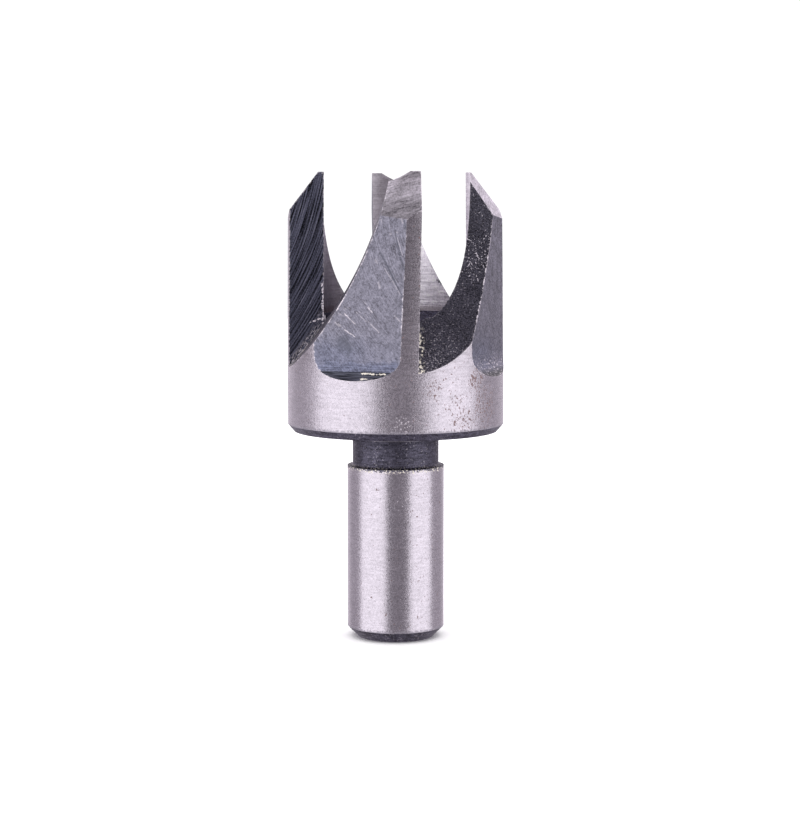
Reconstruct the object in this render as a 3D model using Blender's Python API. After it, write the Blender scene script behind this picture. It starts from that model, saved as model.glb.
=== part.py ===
"""Plug cutter: a one-piece steel tool that cuts round wooden plugs in a drill press.

A plain round shank carries a hollow head. Four wheel-cut slots divide the wall of
the head into four claws. Each claw has a flat leading face, a narrow land on the
outside, a ground relief flat behind the land and a steep bevel at its tip.

The origin is at the middle of the shank's end face. +Z runs along the tool to the
tips of the claws, and the leading face of the front claw looks along +X.
"""

import math

import bmesh
import bpy
from mathutils import Matrix
from mathutils import Vector

MM = 0.001

# Shank and neck
SHANK_DIAMETER = 10.0 * MM
SHANK_LENGTH = 17.9 * MM
SHANK_CHAMFER = 1.1 * MM
NECK_LENGTH = 3.6 * MM
NECK_DEPTH = 0.55 * MM
NECK_FILLET = 0.3 * MM

# Head, measured from the plug outwards
BORE_DIAMETER = 15.3 * MM
WALL_THICKNESS = 3.475 * MM
HEAD_LENGTH = 26.5 * MM
HEAD_CHAMFER_WIDTH = 0.65 * MM
HEAD_CHAMFER_HEIGHT = 0.75 * MM
BACK_TAPER = math.radians(0.3)

# Blind hole, measured down from the tips
BORE_DEPTH = 14.5 * MM
CORE_STEP = 0.2 * MM
CORE_LENGTH = 1.9 * MM
DRILL_POINT_ANGLE = math.radians(118.0)

# Slots between the claws, cut by the side and the rim of a wheel
CLAW_COUNT = 4
RAKE_OFFSET = 2.08 * MM
RAKE_TILT = math.radians(1.26)
SLOT_DEPTH = 20.0 * MM
SLOT_WHEEL_RADIUS = 43.9 * MM
HEEL_OFFSET = 0.9 * MM

# Ground relief flat behind each land
RELIEF_AZIMUTH = math.radians(-25.4)
RELIEF_CUT = 1.49 * MM
RELIEF_TAPER = math.radians(1.46)
RELIEF_DEPTH = 19.6 * MM
RELIEF_RUNOUT_ANGLE = math.radians(45.0)

# Bevel that sharpens each tip against the bore
BEVEL_AZIMUTH = math.radians(-20.2)
BEVEL_ANGLE = math.radians(54.0)
BEVEL_OVERLAP = 0.9 * MM

# Fineness of the round faces
LATHE_STEPS = 96
FILLET_STEPS = 3
WHEEL_STEPS = 18

# How far the cutting tools reach past the metal
CUTTER_REACH = 1.0 * MM

SMOOTH_LIMIT = math.radians(25.0)
MERGE_DISTANCE = 0.0005 * MM

SHANK_RADIUS = SHANK_DIAMETER / 2
NECK_RADIUS = SHANK_RADIUS - NECK_DEPTH
BORE_RADIUS = BORE_DIAMETER / 2
HEAD_RADIUS = BORE_RADIUS + WALL_THICKNESS
HEAD_BASE = SHANK_LENGTH + NECK_LENGTH
TIP_HEIGHT = HEAD_BASE + HEAD_LENGTH


def clear_scene():
    """Remove whatever the file opened with."""
    for old_object in list(bpy.data.objects):
        bpy.data.objects.remove(old_object, do_unlink=True)


def make_steel():
    """Ground tool steel, a light warm grey."""
    material = bpy.data.materials.new("tool_steel")
    material.use_nodes = True
    shader = material.node_tree.nodes["Principled BSDF"]
    shader.inputs["Base Color"].default_value = (0.53, 0.50, 0.53, 1.0)
    shader.inputs["Metallic"].default_value = 1.0
    shader.inputs["Roughness"].default_value = 0.34
    return material


def quarter_arc(centre_radius, centre_height, start_angle, end_angle):
    """Points of the neck's fillet in the half section, ends included."""
    points = []
    for step in range(FILLET_STEPS + 1):
        angle = start_angle + (end_angle - start_angle) * step / FILLET_STEPS
        radius = centre_radius + NECK_FILLET * math.cos(angle)
        height = centre_height + NECK_FILLET * math.sin(angle)
        points.append((radius, height))
    return points


def lathe_outline():
    """Half section from the drill point, over the rim and down the outside to the axis."""
    core_radius = BORE_RADIUS - CORE_STEP
    bore_floor = TIP_HEIGHT - BORE_DEPTH
    core_floor = bore_floor - CORE_LENGTH
    drill_point = core_floor - core_radius / math.tan(DRILL_POINT_ANGLE / 2)
    slot_foot = TIP_HEIGHT - SLOT_DEPTH
    tip_radius = HEAD_RADIUS - SLOT_DEPTH * math.tan(BACK_TAPER)
    fillet_radius = NECK_RADIUS + NECK_FILLET

    hole = [
        (0.0, drill_point),
        (core_radius, core_floor),
        (core_radius, bore_floor),
        (BORE_RADIUS, bore_floor),
        (BORE_RADIUS, TIP_HEIGHT),
    ]
    head = [
        (tip_radius, TIP_HEIGHT),
        (HEAD_RADIUS, slot_foot),
        (HEAD_RADIUS, HEAD_BASE + HEAD_CHAMFER_HEIGHT),
        (HEAD_RADIUS - HEAD_CHAMFER_WIDTH, HEAD_BASE),
    ]
    neck_top = quarter_arc(fillet_radius, HEAD_BASE - NECK_FILLET, math.pi / 2, math.pi)
    neck_foot = quarter_arc(fillet_radius, SHANK_LENGTH + NECK_FILLET, math.pi, 3 * math.pi / 2)
    shank = [
        (SHANK_RADIUS, SHANK_LENGTH),
        (SHANK_RADIUS, SHANK_CHAMFER),
        (SHANK_RADIUS - SHANK_CHAMFER, 0.0),
        (0.0, 0.0),
    ]
    return hole + head + neck_top + neck_foot + shank


def make_turned_blank(material):
    """Turn the half section once around the tool's axis."""
    outline = lathe_outline()
    mesh = bpy.data.meshes.new("cutter_body")
    vertices = [(radius, 0.0, height) for radius, height in outline]
    edges = [(index, index + 1) for index in range(len(outline) - 1)]
    mesh.from_pydata(vertices, edges, [])
    mesh.materials.append(material)
    blank = bpy.data.objects.new("cutter_body", mesh)
    bpy.context.scene.collection.objects.link(blank)

    lathe = blank.modifiers.new("lathe", "SCREW")
    lathe.axis = "Z"
    lathe.angle = 2 * math.pi
    lathe.steps = LATHE_STEPS
    lathe.render_steps = LATHE_STEPS
    lathe.use_merge_vertices = True
    lathe.merge_threshold = MERGE_DISTANCE
    return blank


def make_prism(name, outline, start, end):
    """Closed prism: an outline of (outward, height) points, drawn along +X from start to end.

    Outward is -Y, the direction in which the front claw lies.
    """
    body = bmesh.new()
    near = [body.verts.new((start, -outward, height)) for outward, height in outline]
    far = [body.verts.new((end, -outward, height)) for outward, height in outline]
    body.faces.new(near)
    body.faces.new(reversed(far))
    count = len(outline)
    for index in range(count):
        following = (index + 1) % count
        body.faces.new((near[following], near[index], far[index], far[following]))
    bmesh.ops.recalc_face_normals(body, faces=body.faces)
    mesh = bpy.data.meshes.new(name)
    body.to_mesh(mesh)
    body.free()
    prism = bpy.data.objects.new(name, mesh)
    bpy.context.scene.collection.objects.link(prism)
    prism.hide_render = True
    prism.display_type = "WIRE"
    return prism


def wheel_centre():
    """Centre of the slotting wheel, from the heel at the tip and the slot's foot outside."""
    heel = Vector((HEEL_OFFSET, TIP_HEIGHT))
    foot = Vector((HEAD_RADIUS, TIP_HEIGHT - SLOT_DEPTH))
    chord = foot - heel
    outward = Vector((-chord.y, chord.x)).normalized()
    reach = math.sqrt(SLOT_WHEEL_RADIUS ** 2 - (chord.length / 2) ** 2)
    return (heel + foot) / 2 + outward * reach


def make_slot_cutter(index):
    """The part of the wheel inside the head: its side cuts the rake face, its rim the flank."""
    centre = wheel_centre()
    top = TIP_HEIGHT + CUTTER_REACH
    outside = HEAD_RADIUS + CUTTER_REACH
    first = math.pi + math.asin((centre.y - top) / SLOT_WHEEL_RADIUS)
    last = math.pi + math.acos((centre.x - outside) / SLOT_WHEEL_RADIUS)
    outline = []
    for step in range(WHEEL_STEPS + 1):
        angle = first + (last - first) * step / WHEEL_STEPS
        along = centre.x + SLOT_WHEEL_RADIUS * math.cos(angle)
        height = centre.y + SLOT_WHEEL_RADIUS * math.sin(angle)
        outline.append((along, height))
    outline.append((outside, top))

    cutter = make_prism(f"slot_cutter_{index + 1}", outline, RAKE_OFFSET, outside)
    hinge = Vector((RAKE_OFFSET, 0.0, TIP_HEIGHT))
    tilt = Matrix.Translation(hinge) @ Matrix.Rotation(RAKE_TILT, 4, "Y") @ Matrix.Translation(-hinge)
    cutter.matrix_world = claw_turn(index) @ tilt
    return cutter


def make_relief_cutter(index):
    """Grinding wheel's face for the relief flat, with its slanted run-out at the foot."""
    top = TIP_HEIGHT + CUTTER_REACH
    foot = TIP_HEIGHT - RELIEF_DEPTH
    outside = HEAD_RADIUS + CUTTER_REACH
    slope = math.tan(RELIEF_TAPER)
    tip_distance = HEAD_RADIUS - RELIEF_CUT
    foot_distance = tip_distance + RELIEF_DEPTH * slope
    outline = [
        (tip_distance - CUTTER_REACH * slope, top),
        (foot_distance, foot),
        (outside, foot - (outside - foot_distance) * math.tan(RELIEF_RUNOUT_ANGLE)),
        (outside, top),
    ]
    half_width = math.sqrt(HEAD_RADIUS ** 2 - tip_distance ** 2) + CUTTER_REACH
    cutter = make_prism(f"relief_cutter_{index + 1}", outline, -half_width, half_width)
    cutter.matrix_world = claw_turn(index) @ Matrix.Rotation(RELIEF_AZIMUTH, 4, "Z")
    return cutter


def make_bevel_cutter(index):
    """Grinding wheel's face for the bevel, which leaves a small flat at the leading tip."""
    top = TIP_HEIGHT + CUTTER_REACH
    outside = HEAD_RADIUS + CUTTER_REACH
    slope = math.tan(BEVEL_ANGLE)
    inner = BORE_RADIUS - BEVEL_OVERLAP
    outline = [
        (inner - CUTTER_REACH / slope, top),
        (outside, TIP_HEIGHT - (outside - inner) * slope),
        (outside, top),
    ]
    cutter = make_prism(f"bevel_cutter_{index + 1}", outline, -HEAD_RADIUS, HEAD_RADIUS)
    cutter.matrix_world = claw_turn(index) @ Matrix.Rotation(BEVEL_AZIMUTH, 4, "Z")
    return cutter


def claw_turn(index):
    """Turn from the front claw to another claw."""
    return Matrix.Rotation(2 * math.pi * index / CLAW_COUNT, 4, "Z")


def cut_away(body, cutter):
    """Subtract one cutter from the body."""
    cut = body.modifiers.new(cutter.name, "BOOLEAN")
    cut.operation = "DIFFERENCE"
    cut.solver = "EXACT"
    cut.object = cutter


def shade_by_angle(mesh):
    """Smooth round faces and keep the ground edges crisp."""
    mesh.shade_smooth()
    mesh.set_sharp_from_angle(angle=SMOOTH_LIMIT)


def finish_body(body, cutters):
    """Keep the cut shape as the body's own mesh and drop the cutters."""
    depsgraph = bpy.context.evaluated_depsgraph_get()
    finished = bpy.data.meshes.new_from_object(body.evaluated_get(depsgraph), depsgraph=depsgraph)
    body.modifiers.clear()
    body.data = finished
    finished.name = body.name
    for cutter in cutters:
        bpy.data.objects.remove(cutter, do_unlink=True)

    shape = bmesh.new()
    shape.from_mesh(finished)
    bmesh.ops.remove_doubles(shape, verts=shape.verts, dist=MERGE_DISTANCE)
    shape.to_mesh(finished)
    shape.free()
    shade_by_angle(finished)


def build_cutter():
    """Turn the blank, cut the slots, then grind the relief flats and the bevels."""
    body = make_turned_blank(make_steel())
    cutters = []
    for make_cutter in (make_slot_cutter, make_relief_cutter, make_bevel_cutter):
        for index in range(CLAW_COUNT):
            cutter = make_cutter(index)
            cut_away(body, cutter)
            cutters.append(cutter)
    finish_body(body, cutters)
    return body


clear_scene()
build_cutter()
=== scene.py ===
"""Looks of the plug cutter: the same one-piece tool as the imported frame, with its ground,
blackened and worn finishes, in a plain white studio.

The body is turned and cut again here from the same sizes, with finer faces, so that each
face knows which tool made it and how far it lies from the nearest edge. Wear, scratches,
rust and turning lines read those places.
"""

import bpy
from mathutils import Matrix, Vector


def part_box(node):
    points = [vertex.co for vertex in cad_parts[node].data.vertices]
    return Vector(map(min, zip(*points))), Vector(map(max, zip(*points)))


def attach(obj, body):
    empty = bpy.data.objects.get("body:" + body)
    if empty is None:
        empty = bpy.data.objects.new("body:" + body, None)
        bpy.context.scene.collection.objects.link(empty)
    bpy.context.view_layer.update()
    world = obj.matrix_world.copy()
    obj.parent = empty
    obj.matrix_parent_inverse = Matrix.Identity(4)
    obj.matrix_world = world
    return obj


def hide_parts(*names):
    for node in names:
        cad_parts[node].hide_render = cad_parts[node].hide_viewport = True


bl_info = {
    "name": "Plug Cutter Looks",
    "version": (1, 0, 0),
    "blender": (4, 5, 0),
    "location": "View3D > Sidebar > Plug Cutter",
    "description": "Builds the finished plug cutter on its packed frame and a studio around it",
    "category": "Object",
}

import math

import bmesh
import bpy
import numpy as np
from bpy.props import FloatProperty, FloatVectorProperty, PointerProperty
from bpy.types import Operator, Panel, PropertyGroup
from mathutils import Matrix, Vector
from mathutils.kdtree import KDTree

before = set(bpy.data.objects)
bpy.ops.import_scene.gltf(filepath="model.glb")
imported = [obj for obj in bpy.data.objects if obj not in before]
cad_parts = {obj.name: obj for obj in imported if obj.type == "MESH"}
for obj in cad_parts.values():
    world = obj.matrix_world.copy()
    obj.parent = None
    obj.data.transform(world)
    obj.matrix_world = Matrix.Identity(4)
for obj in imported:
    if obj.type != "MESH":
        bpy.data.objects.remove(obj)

MM = 0.001
CAD_NODE = "cutter_body"
BODY = "root"
LOW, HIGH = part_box(CAD_NODE)

# Fineness of the body's faces
LATHE_STEPS = 240
FILLET_STEPS = 6
WHEEL_STEPS = 60
FOOT_STEPS = 10

# How far below the slots' foot the finer faces start
FINE_MARGIN = 2 * MM

# Share of the radius at a relief flat's foot that still looks like the flat
RUNOUT_START = 0.55
LONGEST_EDGE = 0.55 * MM
LONGEST_PLAIN_EDGE = 1.6 * MM
SPLIT_PASSES = 7
MERGE_DISTANCE = 0.002 * MM
CUTTER_REACH = 1.0 * MM

# Two faces that meet at more than this make an edge or a corner
EDGE_ANGLE = math.radians(18.0)
EDGE_SAMPLE = 0.06 * MM
FARTHEST_GAP = 5.0 * MM

# The places on each claw's cuts lie this much deeper than the last claw's, in millimetres
CLAW_SPACING = 20.0
CLAW_COUNT = 4
QUARTER_TURN = math.pi / 2

FINISHES = (
    "ground_steel",
    "black_oxide",
    "reamed_steel",
    "relief_steel",
    "runout_steel",
    "bevel_steel",
    "rake_steel",
    "flank_steel",
)
TURNED_FINISHES = ("ground_steel", "black_oxide", "reamed_steel")
PLAIN_FINISHES = ("black_oxide", "reamed_steel")


def length_of(name, description, metres):
    """A length that a user may change."""
    return FloatProperty(name=name, description=description, default=metres, unit="LENGTH", precision=5)


def angle_of(name, description, degrees):
    """An angle that a user may change."""
    angle = math.radians(degrees)
    return FloatProperty(name=name, description=description, default=angle, unit="ROTATION")


def share_of(name, description, share):
    """A share from 0 to 1."""
    return FloatProperty(
        name=name, description=description, default=share, min=0.0, max=1.0, subtype="FACTOR"
    )


def colour_of(name, description, colour):
    """A colour that a user may change."""
    return FloatVectorProperty(
        name=name, description=description, default=colour, size=3, min=0.0, max=1.0, subtype="COLOR"
    )


class CutterSizes(PropertyGroup):
    """Sizes of the turned blank and of the cuts in it. They repeat the frame's."""

    head_diameter: length_of("Head diameter", "Across the head, below the claws", HIGH.x - LOW.x)
    total_length: length_of("Total length", "From the shank's end to the tips", HIGH.z - LOW.z)
    head_length: length_of("Head length", "From the head's underside to the tips", 26.5 * MM)
    head_chamfer_width: length_of("Head chamfer width", "Radial width of the lower chamfer", 0.65 * MM)
    head_chamfer_height: length_of("Head chamfer height", "Height of the lower chamfer", 0.75 * MM)
    back_taper: angle_of("Back taper", "Slight narrowing of the head towards the tips", 0.3)

    shank_diameter: length_of("Shank diameter", "Across the plain round shank", 10.0 * MM)
    shank_length: length_of("Shank length", "From the end face to the neck", 17.9 * MM)
    shank_chamfer: length_of("Shank chamfer", "Chamfer at the end of the shank", 1.1 * MM)
    neck_depth: length_of("Neck depth", "How far the neck lies below the shank's surface", 0.55 * MM)
    neck_fillet: length_of("Neck fillet", "Radius in the neck's two corners", 0.3 * MM)

    bore_diameter: length_of("Bore diameter", "Across the bore, which sizes the plug", 15.3 * MM)
    bore_depth: length_of("Bore depth", "From the tips to the end of the reamed bore", 14.5 * MM)
    core_step: length_of("Core step", "Step from the bore in to the drilled core", 0.2 * MM)
    core_length: length_of("Core length", "Straight part of the drilled core", 1.9 * MM)
    drill_point: angle_of("Drill point", "Full angle of the cone at the bottom of the hole", 118.0)

    rake_offset: length_of("Rake offset", "From the axis to a claw's leading face", 2.08 * MM)
    rake_tilt: angle_of("Rake tilt", "Lean of the leading face", 1.26)
    slot_depth: length_of("Slot depth", "From the tips to the slot's foot outside", 20.0 * MM)
    slot_wheel_radius: length_of("Slot wheel radius", "Radius of the wheel that cut the slots", 43.9 * MM)
    heel_offset: length_of("Heel offset", "From the axis to the slot's rim at the tips", 0.9 * MM)

    relief_azimuth: angle_of("Relief azimuth", "Turn of the relief flat from straight out", -25.4)
    relief_cut: length_of("Relief cut", "Depth of the relief flat at the tips", 1.49 * MM)
    relief_taper: angle_of("Relief taper", "Lean of the relief flat", 1.46)
    relief_depth: length_of("Relief depth", "From the tips to the foot of the flat", 19.6 * MM)
    relief_runout: angle_of("Relief run-out", "Slope of the run-out below the flat", 45.0)
    relief_foot_radius: length_of("Relief foot radius", "Radius between the flat and its run-out", 3.0 * MM)

    bevel_azimuth: angle_of("Bevel azimuth", "Turn of the tip bevel from straight out", -20.2)
    bevel_angle: angle_of("Bevel angle", "Slope of the tip bevel", 54.0)
    bevel_overlap: length_of("Bevel overlap", "How far the bevel reaches past the bore", 0.9 * MM)

    @property
    def head_base(self):
        """Height of the head's underside."""
        return self.total_length - self.head_length

    @property
    def head_radius(self):
        """Radius of the head below the claws."""
        return self.head_diameter / 2

    @property
    def relief_at_tip(self):
        """From the axis to the relief flat at the tips."""
        return self.head_radius - self.relief_cut

    @property
    def slot_foot(self):
        """Height of the slots' foot outside."""
        return self.total_length - self.slot_depth

    @property
    def cutter_top(self):
        """Height that the cutters reach, clear of the tips."""
        return self.total_length + CUTTER_REACH

    @property
    def cutter_outside(self):
        """Radius that the cutters reach, clear of the head."""
        return self.head_radius + CUTTER_REACH


class CutterColours(PropertyGroup):
    """Colours of the steel's finishes and of what lies on them."""

    ground: colour_of("Ground steel", "Fine ground outside of the shank and the head", (0.60, 0.556, 0.622))
    oxide: colour_of("Black oxide", "Blackened turned faces", (0.103, 0.097, 0.133))
    reamed: colour_of("Reamed steel", "Wall of the bore", (0.87, 0.83, 0.90))
    relief: colour_of("Relief flat", "Ground flats behind the lands", (0.235, 0.228, 0.282))
    relief_foot: colour_of("Relief foot", "Bluer foot of a relief flat", (0.185, 0.195, 0.275))
    runout: colour_of("Run-out", "Dark slope where the relief wheel left the steel", (0.10, 0.105, 0.135))
    bevel: colour_of("Bevel", "Ground bevels at the tips", (0.57, 0.54, 0.59))
    rake: colour_of("Leading face", "Blue-black side of a slot", (0.105, 0.108, 0.15))
    flank: colour_of("Slot flank", "Blackened curved wall of a slot", (0.094, 0.091, 0.116))
    # Darker patches on the bore's wall; the low one is painted shade
    bore_dark_patch: colour_of("Bore stain", "Dull areas on the wall of the bore", (0.12, 0.096, 0.116))
    # Also the colour of the painted highlights along edges, beside the flat's grooves and near the leading
    # faces' corners, and of the painted glints
    scratch: colour_of("Scratch", "Bare steel in a scratch or on a worn edge", (0.80, 0.74, 0.80))
    burr: colour_of("Burr", "Slightly yellow crumbs of torn steel", (0.86, 0.80, 0.70))
    rust: colour_of("Rust", "Specks of light rust", (0.12, 0.052, 0.045))


class StudioSettings(PropertyGroup):
    """Camera, lights and floor."""

    camera_place: FloatVectorProperty(
        name="Camera place",
        description="Where the camera stands",
        default=(-11.64 * MM, -212.96 * MM, 44.74 * MM),
        size=3,
        subtype="TRANSLATION",
        unit="LENGTH",
    )
    camera_turn: angle_of("Camera turn", "Turn of the view about the tool's axis", -3.25)
    camera_pitch: angle_of("Camera pitch", "How far the camera looks down", 5.63)
    focal_length: FloatProperty(
        name="Focal length", description="On a 36 mm sensor, in millimetres", default=91.37, min=1.0
    )
    light_distance: length_of("Light distance", "From the tool to the two side lights", 700.0 * MM)
    light_height: length_of("Light height", "Height of the two side lights", 1500.0 * MM)
    side_brightness: FloatProperty(
        name="Side brightness", description="Brightness of the side lights' surface", default=1.11, min=0.0
    )
    front_grey: share_of("Front grey", "Brightness of the room in front of the tool", 0.27)
    side_grey: share_of("Side grey", "Brightness of the room at the tool's sides", 0.47)
    back_grey: share_of("Back grey", "Brightness of the room behind the tool", 0.86)
    room_colour: colour_of("Room colour", "Slightly lilac grey of the room", (0.99, 0.92, 1.0))
    floor_colour: colour_of("Floor colour", "Plain pale floor", (0.90, 0.90, 0.90))
    floor_size: length_of("Floor size", "Side of the square floor", 1200.0 * MM)


# Shape of the body


def fillet_points(centre_radius, centre_height, fillet, start, finish):
    """Points of one of the neck's two fillets in the half section."""
    points = []
    for step in range(FILLET_STEPS + 1):
        angle = start + (finish - start) * step / FILLET_STEPS
        point = (centre_radius + fillet * math.cos(angle), centre_height + fillet * math.sin(angle))
        points.append((*point, "black_oxide"))
    return points


def half_section(sizes):
    """Radius, height and finish of the face that starts at each point, from the drill point on."""
    tip = sizes.total_length
    base = sizes.head_base
    outside = sizes.head_radius
    bore = sizes.bore_diameter / 2
    core = bore - sizes.core_step
    bore_floor = tip - sizes.bore_depth
    core_floor = bore_floor - sizes.core_length
    drill_tip = core_floor - core / math.tan(sizes.drill_point / 2)
    shank = sizes.shank_diameter / 2
    fillet = sizes.neck_fillet
    fillet_centre = shank - sizes.neck_depth + fillet

    hole = [
        (0.0, drill_tip, "black_oxide"),
        (core, core_floor, "black_oxide"),
        (core, bore_floor, "black_oxide"),
        (bore, bore_floor, "reamed_steel"),
        (bore, tip, "ground_steel"),
    ]
    head = [
        (outside - sizes.slot_depth * math.tan(sizes.back_taper), tip, "ground_steel"),
        (outside, sizes.slot_foot, "ground_steel"),
        (outside, base + sizes.head_chamfer_height, "black_oxide"),
        (outside - sizes.head_chamfer_width, base, "black_oxide"),
    ]
    neck_top = fillet_points(fillet_centre, base - fillet, fillet, math.pi / 2, math.pi)
    neck_foot = fillet_points(
        fillet_centre, sizes.shank_length + fillet, fillet, math.pi, 3 * math.pi / 2
    )
    end = [
        (shank, sizes.shank_length, "ground_steel"),
        (shank, sizes.shank_chamfer, "black_oxide"),
        (shank - sizes.shank_chamfer, 0.0, "black_oxide"),
        (0.0, 0.0, "black_oxide"),
    ]
    return hole + head + neck_top + neck_foot + end


def new_object(name, data):
    """A new object in the scene."""
    made = bpy.data.objects.new(name, data)
    bpy.context.scene.collection.objects.link(made)
    return made


def object_from(shape, name, steels):
    """Scene object from a bmesh, with every finish in the same order."""
    bmesh.ops.recalc_face_normals(shape, faces=shape.faces)
    mesh = bpy.data.meshes.new(name)
    shape.to_mesh(mesh)
    shape.free()
    for finish in FINISHES:
        mesh.materials.append(steels[finish])
    return new_object(name, mesh)


def turn_blank(sizes, steels):
    """Turn the half section round the axis."""
    outline = half_section(sizes)
    shape = bmesh.new()
    rings = []
    for radius, height, _finish in outline:
        if radius == 0.0:
            rings.append([shape.verts.new((0.0, 0.0, height))])
            continue
        ring = []
        for step in range(LATHE_STEPS):
            angle = 2 * math.pi * step / LATHE_STEPS
            place = (radius * math.cos(angle), radius * math.sin(angle), height)
            ring.append(shape.verts.new(place))
        rings.append(ring)
    for ring, next_ring, (_radius, _height, finish) in zip(rings, rings[1:], outline):
        for step in range(LATHE_STEPS):
            following = (step + 1) % LATHE_STEPS
            corners = [
                ring[step % len(ring)],
                ring[following % len(ring)],
                next_ring[following % len(next_ring)],
                next_ring[step % len(next_ring)],
            ]
            face = shape.faces.new(list(dict.fromkeys(corners)))
            face.material_index = FINISHES.index(finish)
    return object_from(shape, "cutter_steel", steels)


def prism(name, outline, finishes, start, end, steels):
    """Closed prism of (outward, height) points along +X. Each side has the finish that it leaves."""
    shape = bmesh.new()
    near = [shape.verts.new((start, -outward, height)) for outward, height in outline]
    far = [shape.verts.new((end, -outward, height)) for outward, height in outline]
    shape.faces.new(near).material_index = FINISHES.index("rake_steel")
    shape.faces.new(reversed(far))
    for index, finish in enumerate(finishes):
        following = (index + 1) % len(outline)
        side = shape.faces.new((near[following], near[index], far[index], far[following]))
        side.material_index = FINISHES.index(finish)
    cutter = object_from(shape, name, steels)
    cutter.hide_render = True
    return cutter


def wheel_centre(sizes):
    """Centre of the slotting wheel as (outward, height), from the heel and the slot's foot."""
    heel = Vector((sizes.heel_offset, sizes.total_length))
    foot = Vector((sizes.head_radius, sizes.slot_foot))
    chord = foot - heel
    outward = Vector((-chord.y, chord.x)).normalized()
    reach = math.sqrt(sizes.slot_wheel_radius ** 2 - (chord.length / 2) ** 2)
    return (heel + foot) / 2 + outward * reach


def rake_lean(sizes):
    """Lean of a slot cutter about the leading face's top."""
    hinge = Vector((sizes.rake_offset, 0.0, sizes.total_length))
    lean = Matrix.Rotation(sizes.rake_tilt, 4, "Y")
    return Matrix.Translation(hinge) @ lean @ Matrix.Translation(-hinge)


def slot_cutter(sizes, steels):
    """The slotting wheel inside the head: its side cuts the leading face, its rim the flank."""
    centre = wheel_centre(sizes)
    radius = sizes.slot_wheel_radius
    top = sizes.cutter_top
    outside = sizes.cutter_outside
    first = math.pi + math.asin((centre.y - top) / radius)
    last = math.pi + math.acos((centre.x - outside) / radius)
    outline = []
    for step in range(WHEEL_STEPS + 1):
        angle = first + (last - first) * step / WHEEL_STEPS
        outline.append((centre.x + radius * math.cos(angle), centre.y + radius * math.sin(angle)))
    outline.append((outside, top))
    finishes = ["flank_steel"] * len(outline)
    cutter = prism("slot_cutter", outline, finishes, sizes.rake_offset, outside, steels)
    return cutter, rake_lean(sizes)


def relief_foot(sizes):
    """Where the flat would meet its run-out, and the centre of the radius between them."""
    foot = sizes.total_length - sizes.relief_depth
    outward = sizes.relief_at_tip + sizes.relief_depth * math.tan(sizes.relief_taper)
    corner = Vector((outward, foot))
    up_flat = Vector((-math.sin(sizes.relief_taper), math.cos(sizes.relief_taper)))
    off_flat = Vector((math.cos(sizes.relief_taper), math.sin(sizes.relief_taper)))
    half_turn = (math.pi / 2 - sizes.relief_runout - sizes.relief_taper) / 2
    start = corner + up_flat * sizes.relief_foot_radius * math.tan(half_turn)
    return corner, start + off_flat * sizes.relief_foot_radius


def relief_cutter(sizes, steels):
    """Wheel face for the relief flat, the radius at its foot and its slanted run-out."""
    top = sizes.cutter_top
    outside = sizes.cutter_outside
    at_tip = sizes.relief_at_tip
    corner, centre = relief_foot(sizes)
    outline = [(at_tip - CUTTER_REACH * math.tan(sizes.relief_taper), top)]
    finishes = ["relief_steel"]
    last = math.pi / 2 - sizes.relief_runout
    for step in range(FOOT_STEPS + 1):
        share = step / FOOT_STEPS
        angle = sizes.relief_taper + (last - sizes.relief_taper) * share
        outward = centre.x - sizes.relief_foot_radius * math.cos(angle)
        height = centre.y - sizes.relief_foot_radius * math.sin(angle)
        outline.append((outward, height))
        finishes.append("relief_steel" if share < RUNOUT_START else "runout_steel")
    outline.append((outside, corner.y - (outside - corner.x) * math.tan(sizes.relief_runout)))
    outline.append((outside, top))
    finishes += ["relief_steel", "relief_steel"]
    half_width = math.sqrt(sizes.head_radius ** 2 - at_tip ** 2) + CUTTER_REACH
    cutter = prism("relief_cutter", outline, finishes, -half_width, half_width, steels)
    return cutter, Matrix.Rotation(sizes.relief_azimuth, 4, "Z")


def bevel_cutter(sizes, steels):
    """Wheel face for the bevel that sharpens a tip."""
    top = sizes.cutter_top
    outside = sizes.cutter_outside
    slope = math.tan(sizes.bevel_angle)
    inner = sizes.bore_diameter / 2 - sizes.bevel_overlap
    outline = [
        (inner - CUTTER_REACH / slope, top),
        (outside, sizes.total_length - (outside - inner) * slope),
        (outside, top),
    ]
    reach = sizes.head_radius
    cutter = prism("bevel_cutter", outline, ["bevel_steel"] * 3, -reach, reach, steels)
    return cutter, Matrix.Rotation(sizes.bevel_azimuth, 4, "Z")


def cut_claws(blank, sizes, steels):
    """Cut the four slots, relief flats and bevels, and keep the result as the blank's mesh."""
    cutters = []
    for make_cutter in (slot_cutter, relief_cutter, bevel_cutter):
        for index in range(CLAW_COUNT):
            cutter, stand = make_cutter(sizes, steels)
            cutter.matrix_world = Matrix.Rotation(QUARTER_TURN * index, 4, "Z") @ stand
            cut = blank.modifiers.new(cutter.name, "BOOLEAN")
            cut.operation = "DIFFERENCE"
            cut.solver = "EXACT"
            cut.object = cutter
            cutters.append(cutter)
    depsgraph = bpy.context.evaluated_depsgraph_get()
    finished = bpy.data.meshes.new_from_object(blank.evaluated_get(depsgraph), depsgraph=depsgraph)
    blank.modifiers.clear()
    blank.data = finished
    finished.name = blank.name
    for cutter in cutters:
        bpy.data.objects.remove(cutter, do_unlink=True)
    shape = bmesh.new()
    shape.from_mesh(finished)
    bmesh.ops.remove_doubles(shape, verts=shape.verts, dist=MERGE_DISTANCE)
    shape.to_mesh(finished)
    shape.free()


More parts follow.
